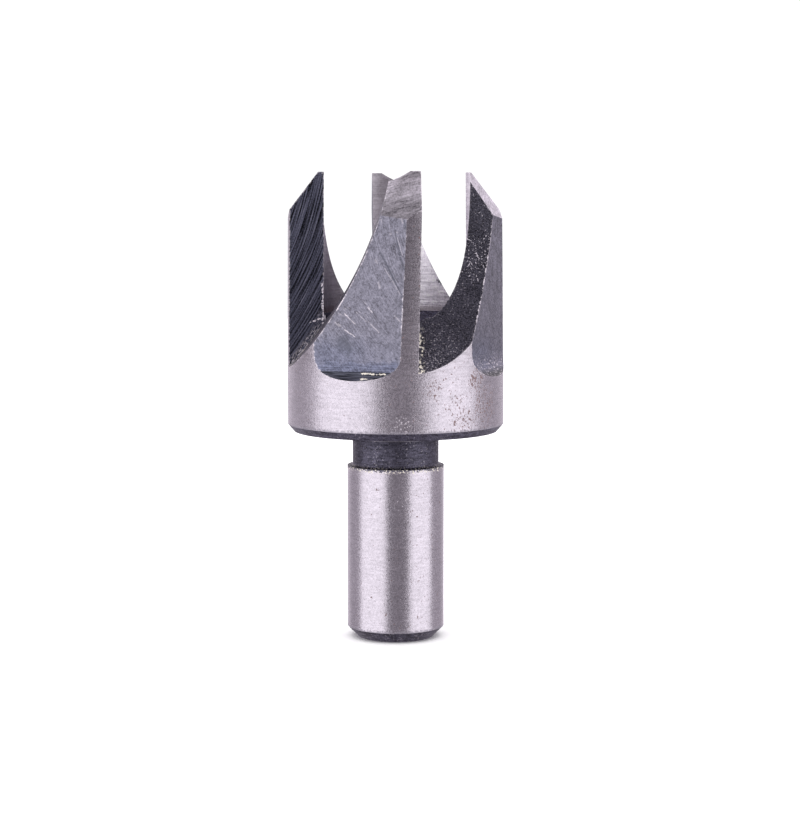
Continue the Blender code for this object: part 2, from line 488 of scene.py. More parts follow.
def split_faces(body, sizes):
    """Split the faces until no edge is long, finer on the claws than on the shank and in the bore."""
    shape = bmesh.new()
    shape.from_mesh(body.data)
    bmesh.ops.triangulate(shape, faces=shape.faces, quad_method="BEAUTY", ngon_method="BEAUTY")
    claws_start = sizes.slot_foot - FINE_MARGIN
    plain = [FINISHES.index(finish) for finish in PLAIN_FINISHES]
    for _ in range(SPLIT_PASSES):
        long_edges = []
        for edge in shape.edges:
            high = max(edge.verts[0].co.z, edge.verts[1].co.z) > claws_start
            worked = any(face.material_index not in plain for face in edge.link_faces)
            limit = LONGEST_EDGE if high and worked else LONGEST_PLAIN_EDGE
            if edge.calc_length() > limit:
                long_edges.append(edge)
        if not long_edges:
            break
        bmesh.ops.subdivide_edges(shape, edges=long_edges, cuts=1)
        bmesh.ops.remove_doubles(shape, verts=shape.verts, dist=MERGE_DISTANCE)
        bmesh.ops.triangulate(shape, faces=shape.faces, quad_method="BEAUTY", ngon_method="BEAUTY")
    shape.to_mesh(body.data)
    shape.free()


def edge_points(mesh, convex):
    """Points along the edges where two faces meet outwards, or inwards, at more than a small angle."""
    shape = bmesh.new()
    shape.from_mesh(mesh)
    points = []
    for edge in shape.edges:
        if len(edge.link_faces) != 2:
            continue
        if edge.calc_face_angle() < EDGE_ANGLE or edge.is_convex != convex:
            continue
        start, finish = (vertex.co for vertex in edge.verts)
        count = max(1, math.ceil((finish - start).length / EDGE_SAMPLE))
        for step in range(count + 1):
            points.append(start.lerp(finish, step / count))
    shape.free()
    return points


def gap_to(mesh, points):
    """Distance from each vertex to the nearest of the points, in millimetres."""
    tree = KDTree(len(points))
    for index, point in enumerate(points):
        tree.insert(point, index)
    tree.balance()
    gaps = []
    for vertex in mesh.vertices:
        _place, _index, distance = tree.find(vertex.co)
        gaps.append(min(distance, FARTHEST_GAP) / MM)
    return np.array(gaps, dtype=np.float32)


def turned_by(points, angle):
    """Points turned about the tool's axis."""
    turn = np.array(Matrix.Rotation(angle, 3, "Z"))
    return points @ turn.T


def values_of(items, name):
    """One whole number of every face or corner."""
    values = np.zeros(len(items), dtype=np.int32)
    items.foreach_get(name, values)
    return values


def vectors_of(items, name):
    """One vector of every face or vertex."""
    vectors = np.zeros(len(items) * 3)
    items.foreach_get(name, vectors)
    return vectors.reshape(-1, 3)


class FacePlaces:
    """Where each face corner lies on its own cut, and which way the smooth surface looks there."""

    def __init__(self, mesh, sizes):
        self.sizes = sizes
        self.corners = vectors_of(mesh.vertices, "co")[values_of(mesh.loops, "vertex_index")]
        totals = values_of(mesh.polygons, "loop_total")
        self.finish = np.repeat(values_of(mesh.polygons, "material_index"), totals)
        self.flat_normal = np.repeat(vectors_of(mesh.polygons, "normal"), totals, axis=0)
        self.normal = self.flat_normal.copy()
        self.place = self.corners.copy()

    def on(self, finish):
        """Corners of faces with this finish."""
        return self.finish == FINISHES.index(finish)

    def turn_of(self, chosen, facing):
        """Which quarter turn each chosen corner's face has, from a front cut that faces this way."""
        azimuth = np.arctan2(self.flat_normal[chosen, 1], self.flat_normal[chosen, 0])
        return np.round((azimuth - facing) / QUARTER_TURN).astype(int) % CLAW_COUNT

    def round_turned_faces(self):
        """Turned faces look straight away from the axis, or straight at it in the bore."""
        chosen = np.isin(self.finish, [FINISHES.index(name) for name in TURNED_FINISHES])
        corners = self.corners[chosen]
        flat = self.flat_normal[chosen]
        radius = np.hypot(corners[:, 0], corners[:, 1])
        safe = np.maximum(radius, MERGE_DISTANCE)
        radial = corners[:, :2] / safe[:, None]
        side = np.sign(np.sum(flat[:, :2] * radial, axis=1))
        level = np.sqrt(np.clip(1.0 - flat[:, 2] ** 2, 0.0, 1.0)) * side * (radius > MERGE_DISTANCE)
        rounded = np.column_stack((radial * level[:, None], flat[:, 2]))
        self.normal[chosen] = rounded / np.linalg.norm(rounded, axis=1)[:, None]

    def lay_out_cuts(self):
        """Places along and across each cut, in its claw's own frame, with a depth for each claw."""
        sizes = self.sizes
        centre = np.array(wheel_centre(sizes))
        facings = {
            "rake_steel": 0.0,
            "flank_steel": -QUARTER_TURN,
            "relief_steel": -QUARTER_TURN + sizes.relief_azimuth,
            "runout_steel": -QUARTER_TURN + sizes.relief_azimuth,
            "bevel_steel": -QUARTER_TURN + sizes.bevel_azimuth,
        }
        for finish, facing in facings.items():
            on_finish = self.on(finish)
            turns = np.full(len(self.finish), -1)
            turns[on_finish] = self.turn_of(on_finish, facing)
            for index in range(CLAW_COUNT):
                chosen = turns == index
                local = turned_by(self.corners[chosen], -QUARTER_TURN * index)
                if finish == "rake_steel":
                    along, across = local[:, 2], -local[:, 1]
                elif finish == "flank_steel":
                    outward = -local[:, 1] - centre[0]
                    height = local[:, 2] - centre[1]
                    reach = np.hypot(outward, height)
                    along = sizes.slot_wheel_radius * np.arctan2(-height, -outward)
                    across = local[:, 0]
                    inward = np.column_stack((np.zeros(len(local)), outward, -height)) / reach[:, None]
                    self.normal[chosen] = turned_by(inward, QUARTER_TURN * index)
                else:
                    own = turned_by(local, -QUARTER_TURN - facing)
                    along, across = own[:, 2], own[:, 0]
                    if finish != "bevel_steel":
                        self.round_relief_foot(chosen, own, facing + QUARTER_TURN * (index + 1))
                depth = np.full(len(local), index * CLAW_SPACING * MM)
                self.place[chosen] = np.column_stack((across, along, depth))

    def round_relief_foot(self, chosen, own, turn):
        """Smooth normals over the radius at the foot of a relief flat."""
        _corner, centre = relief_foot(self.sizes)
        way = np.column_stack((centre.x + own[:, 1], centre.y - own[:, 2]))
        angle = np.arctan2(way[:, 1], way[:, 0])
        last = math.pi / 2 - self.sizes.relief_runout
        angle = np.clip(angle, self.sizes.relief_taper, last)
        level = np.column_stack((np.zeros(len(own)), -np.cos(angle), np.sin(angle)))
        self.normal[chosen] = turned_by(level, turn)


def record_places(body, sizes, meetings):
    """Write the places that the finishes read, and the smooth normals."""
    mesh = body.data
    for polygon in mesh.polygons:
        polygon.use_smooth = True
    places = FacePlaces(mesh, sizes)
    places.round_turned_faces()
    places.lay_out_cuts()
    mesh.normals_split_custom_set(places.normal.astype(np.float32))

    for name, spots in (("place", places.corners), ("cut_place", places.place)):
        vectors = mesh.attributes.new(name, "FLOAT_VECTOR", "CORNER")
        vectors.data.foreach_set("vector", (spots / MM).astype(np.float32).ravel())
    for name, points in meetings.items():
        values = mesh.attributes.new(name, "FLOAT", "POINT")
        values.data.foreach_set("value", gap_to(mesh, points))


# Nodes

# Size of the lumps in a patch's ragged rim, in millimetres
RIM_LUMPS = 1.0 / 0.9


class Bench:
    """Adds nodes to one tree. Each value given is a socket, a number, a vector or a colour."""

    def __init__(self, tree):
        self.tree = tree
        self.column = 0

    def node(self, kind, **settings):
        """A new node with these settings, placed to the right of the last."""
        made = self.tree.nodes.new(kind)
        made.location = (self.column * 180, -(self.column % 4) * 170)
        self.column += 1
        for name, value in settings.items():
            setattr(made, name, value)
        return made

    def feed(self, socket, value):
        """Link a socket or set a plain value."""
        if isinstance(value, bpy.types.NodeSocket):
            self.tree.links.new(value, socket)
        elif socket.type == "RGBA":
            socket.default_value = (*value[:3], 1.0)
        else:
            socket.default_value = value

    def in_order(self, made, *values):
        """Feed a node's first inputs in order, and give its outputs."""
        for socket, value in zip(made.inputs, values):
            self.feed(socket, value)
        return made.outputs

    def by_name(self, made, **values):
        """Feed a node's inputs by name, with underscores for spaces, and give its outputs."""
        for name, value in values.items():
            self.feed(made.inputs[label_of(name)], value)
        return made.outputs

    def math(self, operation, first, second=0.0, clamp=False):
        """A Math node."""
        made = self.node("ShaderNodeMath", operation=operation, use_clamp=clamp)
        return self.in_order(made, first, second)[0]

    def plus(self, first, second):
        """A sum."""
        return self.math("ADD", first, second)

    def minus(self, first, second, clamp=False):
        """A difference."""
        return self.math("SUBTRACT", first, second, clamp)

    def times(self, first, second, clamp=False):
        """A product."""
        return self.math("MULTIPLY", first, second, clamp)

    def over(self, first, second, clamp=False):
        """A quotient."""
        return self.math("DIVIDE", first, second, clamp)

    def vector(self, operation, first, second, output="Vector"):
        """A Vector Math node, which gives a vector or, as "Value", a number."""
        made = self.node("ShaderNodeVectorMath", operation=operation)
        return self.in_order(made, first, second)[output]

    def parts(self, vector):
        """X, Y and Z of a vector."""
        return tuple(self.in_order(self.node("ShaderNodeSeparateXYZ"), vector))

    def join(self, x, y, z):
        """A vector from three values."""
        return self.in_order(self.node("ShaderNodeCombineXYZ"), x, y, z)[0]

    def moved(self, place, seed):
        """A place moved by a seed, so that each use of a noise has its own pattern."""
        return self.vector("ADD", place, self.join(seed, seed, seed))

    def noise(self, place, size=1.0, detail=2.0, roughness=0.5):
        """Noise from 0 to 1, with lumps of about this size."""
        scale = 1.0 / size if isinstance(size, float) else self.over(1.0, size)
        made = self.node("ShaderNodeTexNoise")
        return self.by_name(made, vector=place, scale=scale, detail=detail, roughness=roughness)[0]

    def between(self, value, low, high, start=0.0, finish=1.0):
        """A value's place between low and high, smoothed and kept between start and finish."""
        made = self.node("ShaderNodeMapRange", interpolation_type="SMOOTHSTEP")
        return self.in_order(made, value, low, high, start, finish)[0]

    def fade(self, share, start, finish):
        """From start to finish as a share goes from 0 to 1."""
        return self.between(share, 0.0, 1.0, start, finish)

    def above(self, value, share, highest, slope, softness):
        """Where a noise lies above a limit that falls as the share grows."""
        limit = self.minus(highest, self.times(share, slope))
        return self.between(value, limit, self.plus(limit, softness))

    def away_from(self, value, middle):
        """How far a value lies from a middle."""
        return self.math("ABSOLUTE", self.minus(value, middle))

    def mix(self, share, first, second):
        """A mix of two colours."""
        made = self.node("ShaderNodeMix", data_type="RGBA")
        for index, value in ((0, share), (6, first), (7, second)):
            self.feed(made.inputs[index], value)
        return made.outputs[2]

    def tinted(self, colour, amount):
        """A colour made lighter or darker by a varying amount."""
        made = self.node("ShaderNodeVectorMath", operation="SCALE")
        return self.by_name(made, vector=colour, scale=amount)["Vector"]

    def attribute(self, name, output="Vector"):
        """A value that the mesh carries."""
        return self.node("ShaderNodeAttribute", attribute_name=name).outputs[output]

    def group(self, name, **values):
        """One of the shared effects."""
        made = self.node("ShaderNodeGroup", node_tree=bpy.data.node_groups[name])
        return self.by_name(made, **values)


def label_of(name):
    """Label of a socket from its name in code."""
    return name.replace("_", " ").capitalize()


def socket_kind(vector):
    """Kind of a group's socket."""
    return "NodeSocketVector" if vector else "NodeSocketFloat"


def new_effect(name, outputs, **inputs):
    """An empty node group: its bench, its results and its inputs. None makes an input for a vector."""
    tree = bpy.data.node_groups.new(name, "ShaderNodeTree")
    for key, default in inputs.items():
        kind = socket_kind(default is None)
        socket = tree.interface.new_socket(name=label_of(key), in_out="INPUT", socket_type=kind)
        if default is not None:
            socket.default_value = default
    for label in outputs:
        kind = socket_kind(label == "Place")
        tree.interface.new_socket(name=label, in_out="OUTPUT", socket_type=kind)
    bench = Bench(tree)
    given = bench.node("NodeGroupInput").outputs
    results = bench.node("NodeGroupOutput").inputs
    return (bench, results, *given[:len(inputs)])


def make_grain():
    """Fine even grain of ground steel, from -1 to 1."""
    bench, results, place, size, seed = new_effect("grain", ("Value",), place=None, size=0.12, seed=0.0)
    fine = bench.noise(bench.moved(place, seed), size, detail=3.0, roughness=0.7)
    bench.feed(results["Value"], bench.between(fine, 0.34, 0.66, -1.0, 1.0))


def make_turned_lines():
    """Lines round the axis, left by a lathe tool or a grinding wheel, from -1 to 1."""
    bench, results, place, pitch, reach = new_effect(
        "turned_lines", ("Value",), place=None, pitch=0.15, reach=4.0
    )
    x, y, z = bench.parts(place)
    stretched = bench.join(bench.over(x, reach), bench.over(y, reach), bench.over(z, pitch))
    lines = bench.noise(stretched, detail=3.0, roughness=0.6)
    bench.feed(results["Value"], bench.between(lines, 0.3, 0.7, -1.0, 1.0))


def make_scratches():
    """Straight scratches in one direction over a cut face: where they are, and their tone."""
    bench, results, place, angle, spacing, length, share, seed = new_effect(
        "scratches",
        ("Mask", "Value"),
        place=None,
        angle=0.0,
        spacing=0.15,
        length=3.0,
        share=0.3,
        seed=0.0,
    )
    turn = bench.node("ShaderNodeVectorRotate", rotation_type="Z_AXIS")
    x, y, z = bench.parts(bench.by_name(turn, vector=place, angle=angle)[0])
    stretched = bench.join(bench.over(x, length), bench.over(y, spacing), bench.plus(z, seed))
    lines = bench.noise(stretched, detail=1.5, roughness=0.55)
    bench.feed(results["Mask"], bench.above(lines, share, 0.78, 0.5, 0.1))
    bench.feed(results["Value"], bench.between(lines, 0.35, 0.65, -1.0, 1.0))


def make_wear_and_edge_highlight():
    """A broken line of bare or torn steel along an edge, which also serves as a painted highlight where the
    edge catches the light.
    """
    bench, results, place, gap, width, break_size, share, seed = new_effect(
        "worn_edge", ("Mask",), place=None, gap=1.0, width=0.08, break_size=0.5, share=0.6, seed=0.0
    )
    breaks = bench.noise(bench.moved(place, seed), break_size, detail=3.0, roughness=0.65)
    present = bench.above(breaks, share, 0.85, 0.7, 0.22)
    reach = bench.times(width, present)
    near = bench.between(gap, bench.times(reach, 0.35), bench.plus(reach, 0.004), 1.0, 0.0)
    bench.feed(results["Mask"], bench.times(near, bench.math("POWER", present, 1.5)))


def make_torn_rim():
    """Ragged rim of a turned step: dark bites out of the steel, and bright crumbs beside them."""
    bench, results, place, gap, width, break_size, share = new_effect(
        "torn_rim", ("Dark", "Bright"), place=None, gap=1.0, width=0.2, break_size=0.3, share=0.5
    )
    bites = bench.noise(place, break_size, detail=3.0, roughness=0.7)
    depth = bench.times(width, bench.between(bites, 0.35, 0.65, 0.1, 1.2))
    bench.feed(results["Dark"], bench.between(gap, bench.times(depth, 0.7), depth, 1.0, 0.0))
    crumbs = bench.noise(bench.moved(place, 5.0), bench.over(break_size, 1.6), roughness=0.6)
    near = bench.between(gap, width, bench.times(width, 1.6), 1.0, 0.0)
    bench.feed(results["Bright"], bench.times(bench.above(crumbs, share, 0.8, 0.5, 0.06), near))


def make_flecks():
    """Small uneven flecks. A larger share gives more and larger ones."""
    bench, results, place, size, share, seed = new_effect(
        "flecks", ("Mask",), place=None, size=0.25, share=0.1, seed=0.0
    )
    lumps = bench.noise(bench.moved(place, seed), size, detail=1.5, roughness=0.6)
    bench.feed(results["Mask"], bench.above(lumps, share, 0.74, 0.6, 0.07))


def make_bent():
    """Places laid out along the arcs round a centre: the arc, then the distance from the centre."""
    bench, results, place, centre, radius = new_effect(
        "bent", ("Place",), place=None, centre=None, radius=20.0
    )
    x, y, _z = bench.parts(bench.vector("SUBTRACT", place, centre))
    depth = bench.parts(place)[2]
    angle = bench.math("ARCTAN2", bench.times(x, -1.0), bench.times(y, -1.0))
    reach = bench.math("SQRT", bench.plus(bench.times(x, x), bench.times(y, y)))
    bench.feed(results["Place"], bench.join(bench.times(angle, radius), reach, depth))


def make_patch():
    """A soft round patch with a ragged rim."""
    bench, results, place, centre, radius, rag = new_effect(
        "patch", ("Mask",), place=None, centre=None, radius=2.0, rag=0.5
    )
    away = bench.over(bench.vector("DISTANCE", place, centre, "Value"), radius)
    uneven = bench.minus(bench.noise(place, RIM_LUMPS, detail=3.0), 0.5)
    ragged = bench.plus(away, bench.times(uneven, rag))
    bench.feed(results["Mask"], bench.between(ragged, 0.45, 1.25, 1.0, 0.0))


def make_nick():
    """A broken straight mark between two places."""
    bench, results, place, start, finish, width, share = new_effect(
        "nick", ("Mask",), place=None, start=None, finish=None, width=0.08, share=0.6
    )
    way = bench.vector("SUBTRACT", finish, start)
    from_start = bench.vector("SUBTRACT", place, start)
    forward = bench.vector("DOT_PRODUCT", from_start, way, "Value")
    along = bench.over(forward, bench.vector("DOT_PRODUCT", way, way, "Value"), clamp=True)
    nearest = bench.vector("ADD", start, bench.tinted(way, along))
    reach = bench.times(width, bench.above(bench.noise(place, 0.25), share, 0.7, 0.4, 0.2))
    away = bench.vector("DISTANCE", place, nearest, "Value")
    bench.feed(results["Mask"], bench.between(away, bench.times(reach, 0.3), reach, 1.0, 0.0))


def make_clouds():
    """Slow change of tone over a face, from -1 to 1."""
    bench, results, place, size, seed = new_effect("clouds", ("Value",), place=None, size=4.0, seed=0.0)
    slow = bench.noise(bench.moved(place, seed), size)
    bench.feed(results["Value"], bench.between(slow, 0.3, 0.7, -1.0, 1.0))


EFFECTS = (
    make_grain,
    make_turned_lines,
    make_scratches,
    make_wear_and_edge_highlight,
    make_torn_rim,
    make_flecks,
    make_bent,
    make_patch,
    make_nick,
    make_clouds,
)


# Places of single marks


def marks_on(claw, *rows):
    """Straight marks on one claw's cut face, each across and up at both ends, then width and amount."""
    marks = []
    for across, up, far_across, far_up, width, amount in rows:
        marks.append(((across, up, claw), (far_across, far_up, claw), width, amount))
    return marks


# Depths of the claws' own places, and heights on the body, in millimetres like all places here
FRONT_CLAW = 0.0
LEFT_CLAW = 3 * CLAW_SPACING
SHANK_RIM = 17.9
NECK_RING = 20.8
HEAD_BASE = 21.5
HEAD_RIMS_END = 23.5
BORE_FLOOR = 33.5

# Centre, radius and added share of each rusty place, and centre and radius of each patch of painted glints
RUST_PLACES = (
    ((8.67, -6.97, 24.8), 2.2, 0.20),
    ((6.36, -9.13, 22.9), 1.8, 0.15),
    ((5.61, -9.60, 24.9), 1.6, 0.11),
    ((7.66, -8.07, 27.3), 1.3, 0.22),
    ((3.07, -10.69, 26.8), 1.1, 0.14),
)
GLINT_PATCHES = (((0.1, -11.1, 23.2), 1.2), ((0.2, -5.0, 14.6), 0.8))
# Centre, radius and amount of the darker patches on the bore's wall: painted shade low on the left, and a
# darker place high on the back claw
BORE_DARK_PATCHES = (((-6.5, 4.0, 36.0), 6.0, 0.72), ((-1.8, 7.4, 45.0), 5.0, 0.55))
BORE_NICKS = (
    ((4.75, 5.95, 36.75), (5.1, 5.7, 36.45), 0.26, 0.92),
    ((4.2, 6.3, 38.3), (4.45, 6.2, 38.0), 0.26, 0.92),
)
SLOT_CHIPS = (1.9, -9.9, 29.8)

# Centres of the arcs that the wheels left, and of a stain and a rubbed place on the front flat
FLAT_ARCS = (16.8, 44.8, 0.0)
RAKE_ARCS = (44.8, 54.8, 0.0)
FLAT_STAIN = (-1.28, 30.9, FRONT_CLAW)
FLAT_RUB = (0.2, 33.9, FRONT_CLAW)

# Nicks on the front flat, and painted highlights beside its curved grooves
FLAT_NICKS_AND_HIGHLIGHTS = marks_on(
    FRONT_CLAW,
    (-1.30, 32.37, -0.27, 31.76, 0.11, 0.60),
    (1.21, 33.21, 2.33, 32.22, 0.09, 0.45),
    (-1.36, 33.97, -1.08, 33.72, 0.12, 0.65),
    (-1.31, 33.95, -0.20, 32.95, 0.09, 0.52),
    (-0.18, 34.22, 1.02, 33.20, 0.07, 0.32),
    (-2.00, 33.99, -1.46, 33.77, 0.09, 0.30),
    (-1.51, 34.68, -1.10, 34.33, 0.07, 0.25),
    (-2.35, 33.10, -1.85, 32.75, 0.22, 0.30),
    (-2.13, 34.43, -1.50, 35.50, 0.15, 0.80),
    (1.14, 34.60, 1.62, 34.17, 0.12, 0.55),
    (0.60, 35.30, 1.45, 34.55, 0.06, 0.30),
    (4.00, 33.86, 4.72, 33.17, 0.10, 0.35),
    (2.25, 37.10, 2.40, 36.55, 0.16, 0.32),
    (1.95, 39.30, 2.05, 39.00, 0.18, 0.20),
    (3.45, 41.85, 3.50, 41.80, 0.18, 0.22),
    (4.12, 42.00, 4.14, 41.96, 0.18, 0.25),
    (4.60, 43.35, 4.75, 42.90, 0.14, 0.28),
    (5.05, 43.75, 5.35, 43.60, 0.22, 0.60),
    (2.74, 44.40, 2.86, 44.15, 0.20, 0.50),
    (2.50, 43.20, 2.50, 43.05, 0.14, 0.35),
    # The last three are painted highlights beside the curved grooves below.
    (2.89, 38.44, 3.78, 37.18, 0.07, 0.32),
    (3.78, 37.18, 4.55, 35.95, 0.07, 0.28),
    (4.17, 41.50, 4.77, 39.75, 0.06, 0.28),
)
FLAT_GROOVES = marks_on(
    FRONT_CLAW,
    (2.39, 40.10, 3.18, 38.73, 0.14, 0.62),
    (3.18, 38.73, 3.88, 37.42, 0.15, 0.62),
    (3.88, 37.42, 4.95, 35.50, 0.14, 0.62),
    (3.98, 41.70, 4.50, 39.80, 0.13, 0.62),
    (4.50, 39.80, 5.05, 38.20, 0.14, 0.62),
    (4.90, 43.10, 5.30, 41.50, 0.12, 0.62),
)
RUNOUT_BURRS = marks_on(
    FRONT_CLAW,
    (0.6, 28.15, 3.2, 28.12, 0.17, 0.85),
    (0.5, 27.65, 1.8, 27.6, 0.16, 0.85),
)
RAKE_BURRS = marks_on(
    LEFT_CLAW,
    (8.8, 32.75, 7.8, 33.1, 0.16, 0.95),
    (7.57, 36.7, 7.50, 32.7, 0.22, 0.95),
)
FLANK_NICKS = marks_on(
    FRONT_CLAW,
    (6.95, 16.34, 7.50, 16.66, 0.12, 0.65),
    (7.95, 17.87, 8.28, 18.64, 0.15, 0.65),
    (7.17, 19.30, 7.50, 19.00, 0.15, 0.65),
    (7.30, 18.80, 7.35, 19.40, 0.12, 0.65),
    (8.72, 16.56, 9.06, 16.10, 0.10, 0.65),
    (8.50, 18.96, 8.72, 19.60, 0.10, 0.65),
    (7.90, 20.40, 8.05, 21.00, 0.10, 0.65),
)


# Finishes

# How much the grain varies the roughness, how much rougher and less metallic a mark is than clean
# steel, and how strongly the relief bends the light
GRAIN_ROUGHNESS = 0.04
MARK_ROUGHNESS = 0.2
MARK_DULLNESS = 0.6
RELIEF_STRENGTH = 0.5


class Steel:
    """A steel finish in the making: its places, its marks and its shader."""

    def __init__(self, name):
        material = bpy.data.materials.new(name)
        material.use_nodes = True
        nodes = material.node_tree.nodes
        self.bench = Bench(material.node_tree)
        self.shader = nodes["Principled BSDF"]
        self.shader.location = (2600, 0)
        nodes["Material Output"].location = (2950, 0)
        self.body_place = self.bench.attribute("place")
        self.height = self.bench.parts(self.body_place)[2]
        turned = name in TURNED_FINISHES
        self.place = self.body_place if turned else self.bench.attribute("cut_place")
        self.matt = None

    def effect(self, name, **values):
        """A shared effect, laid over this finish's own places if no others are given."""
        return self.bench.group(name, **{"place": self.place, **values})

    def mask(self, name, **values):
        """Where a shared effect lies."""
        return self.effect(name, **values)["Mask"]

    def value(self, name, **values):
        """Tone of a shared effect, from -1 to 1."""
        return self.effect(name, **values)["Value"]

    def gap(self, name):
        """Distance to the nearest edge or corner."""
        return self.bench.attribute(name, "Fac")

    def worn_edge(self, **values):
        """A broken line along the outward edges: worn steel and painted edge highlight."""
        return self.mask("worn_edge", place=self.body_place, gap=self.gap("edge_gap"), **values)

    def torn_rim(self, **values):
        """Dark bites and bright crumbs along the outward edges."""
        return self.effect("torn_rim", gap=self.gap("edge_gap"), **values)

    def by_claw(self, front, others):
        """One value on the front claw's cuts and another on the other claws'."""
        depth = self.bench.parts(self.place)[2]
        return self.bench.between(depth, CLAW_SPACING / 4, CLAW_SPACING / 2, front, others)

    def stain(self, colour, mask, amount, mark):
        """Mix a stain into the steel's colour where the mask is."""
        return self.bench.mix(self.bench.times(mask, amount), colour, mark)

    def lay(self, colour, mask, amount, mark):
        """Lay a mark over the steel where the mask is. Torn and rusty steel shines less."""
        share = self.bench.times(mask, amount, clamp=True)
        self.matt = share if self.matt is None else self.bench.math("MAXIMUM", self.matt, share)
        return self.bench.mix(share, colour, mark)

    def nicks(self, put, colour, marks, share, mark):
        """Straight marks of one colour, put on by stain or by lay."""
        for start, finish, width, amount in marks:
            nick = self.mask("nick", start=start, finish=finish, width=width, share=share)
            colour = put(colour, nick, amount, mark)
        return colour

    def tone(self, *shares):
        """One plus the sum of (value, amount) pairs."""
        total = 1.0
        for value, amount in shares:
            total = self.bench.plus(self.bench.times(value, amount), total)
        return total

    def finish(self, colour, roughness, grain, relief, depth):
        """Feed the shader. The relief's depth is in millimetres."""
        bench = self.bench
        rough = bench.plus(bench.times(grain, GRAIN_ROUGHNESS), roughness)
        metal = 1.0
        if self.matt is not None:
            rough = bench.plus(bench.times(self.matt, MARK_ROUGHNESS), rough)
            metal = bench.minus(1.0, bench.times(self.matt, MARK_DULLNESS))
        bump = bench.node("ShaderNodeBump")
        bench.by_name(bump, strength=RELIEF_STRENGTH, distance=depth * MM, height=relief)
        bench.feed(self.shader.inputs["Base Color"], colour)
        bench.feed(self.shader.inputs["Roughness"], rough)
        bench.feed(self.shader.inputs["Metallic"], metal)
        bench.feed(self.shader.inputs["Normal"], bump.outputs["Normal"])


def make_ground_steel(steel, colours):
    """Satin outside of the shank and the head, with fine grain, a few pits, light rust, two patches of
    painted glints and painted highlights along the head's edges.
    """
    bench = steel.bench
    height = steel.height
    grain = steel.value("grain", size=0.16)
    coarse = steel.value("grain", size=0.3, seed=7.0)
    lines = steel.value("turned_lines", pitch=0.18, reach=1.4)
    clouds = steel.value("clouds", size=1.6)
    on_claw = bench.between(height, 27.0, 31.0)
    grainy = bench.fade(on_claw, 0.14, 0.05)
    lined = bench.fade(on_claw, 0.08, 0.18)
    tone = steel.tone((grain, grainy), (coarse, 0.05), (lines, lined), (clouds, 0.03))
    tone = bench.times(tone, bench.fade(on_claw, 1.0, 0.88))
    tone = bench.times(tone, bench.between(height, 32.0, 34.0, 1.0, 0.86))
    warmer = bench.mix(bench.times(on_claw, 0.05), colours.ground, colours.rust)
    colour = bench.tinted(warmer, tone)

    share = bench.between(bench.parts(steel.place)[0], -4.0, 4.0, 0.06, 0.115)
    for centre, radius, amount in RUST_PLACES:
        rusty = steel.mask("patch", centre=centre, radius=radius, rag=1.2)
        share = bench.plus(share, bench.times(rusty, amount))
    specks = steel.mask("flecks", size=0.19, share=share, seed=3.0)
    blooms = steel.mask("flecks", size=0.3, share=share, seed=17.0)
    colour = steel.lay(colour, bench.math("MAXIMUM", specks, blooms), 0.8, colours.rust)
    pits = steel.mask("flecks", size=0.26, share=0.07, seed=11.0)
    colour = steel.lay(colour, pits, 0.5, colours.oxide)
    # Painted glints: bright flecks in two small patches.
    bright = steel.mask("flecks", size=0.24, share=0.26, seed=21.0)
    for centre, radius in GLINT_PATCHES:
        glint_patch = steel.mask("patch", centre=centre, radius=radius, rag=0.8)
        colour = steel.lay(colour, bench.times(glint_patch, bright), 0.6, colours.scratch)

    torn = steel.torn_rim(width=0.3, break_size=0.28, share=0.5)
    at_top = bench.between(height, SHANK_RIM - 1.0, SHANK_RIM - 0.8)
    at_top = bench.times(at_top, bench.math("LESS_THAN", height, SHANK_RIM + 0.5))
    at_rims = bench.times(bench.math("LESS_THAN", height, HEAD_RIMS_END), 0.5)
    colour = steel.lay(colour, torn["Dark"], bench.math("MAXIMUM", at_top, at_rims), colours.oxide)
    colour = steel.lay(colour, torn["Bright"], at_top, colours.burr)
    # Painted highlight along the head's edges, partly wear.
    edge = steel.worn_edge(width=0.12, break_size=0.5, share=0.6)
    on_head = bench.times(bench.math("GREATER_THAN", height, HEAD_RIMS_END), 0.55)
    colour = steel.lay(colour, edge, on_head, colours.scratch)

    above_shank = bench.between(height, SHANK_RIM, SHANK_RIM + 0.5)
    relief = bench.plus(bench.times(lines, 0.3), bench.times(grain, 0.7))
    relief = bench.times(relief, bench.fade(above_shank, 0.6, 1.0))
    steel.finish(colour, bench.fade(above_shank, 0.235, 0.27), grain, relief, 0.008)


def make_black_oxide(steel, colours):
    """Blackened turned faces with fine turning lines, a few bright crumbs and painted shade under the head.
    """
    bench = steel.bench
    height = steel.height
    grain = steel.value("grain", size=0.15, seed=5.0)
    lines = steel.value("turned_lines", pitch=0.2, reach=0.9)
    colour = bench.tinted(colours.oxide, steel.tone((grain, 0.40), (lines, 0.40)))
    # Painted shade under the head: the neck is darker above height 20.5.
    colour = bench.tinted(colour, bench.between(height, 19.9, 20.5, 1.0, 0.78))
    colour = bench.tinted(colour, bench.between(height, HEAD_BASE - 0.1, HEAD_BASE, 1.0, 1.8))
    ring = bench.between(bench.away_from(height, NECK_RING), 0.03, 0.1, 1.0, 0.0)
    colour = steel.stain(colour, ring, 0.2, colours.scratch)
    share = bench.between(height, 1.5, 3.0, 0.24, 0.16)
    crumbs = steel.mask("flecks", size=0.2, share=share, seed=7.0)
    colour = steel.lay(colour, crumbs, 0.35, colours.scratch)
    torn = steel.torn_rim(width=0.4, break_size=0.25, share=0.5)
    at_top = bench.between(bench.away_from(height, SHANK_RIM), 0.3, 0.4, 0.85, 0.0)
    colour = steel.lay(colour, torn["Bright"], at_top, colours.burr)
    steel.finish(colour, 0.44, grain, bench.plus(lines, grain), 0.012)


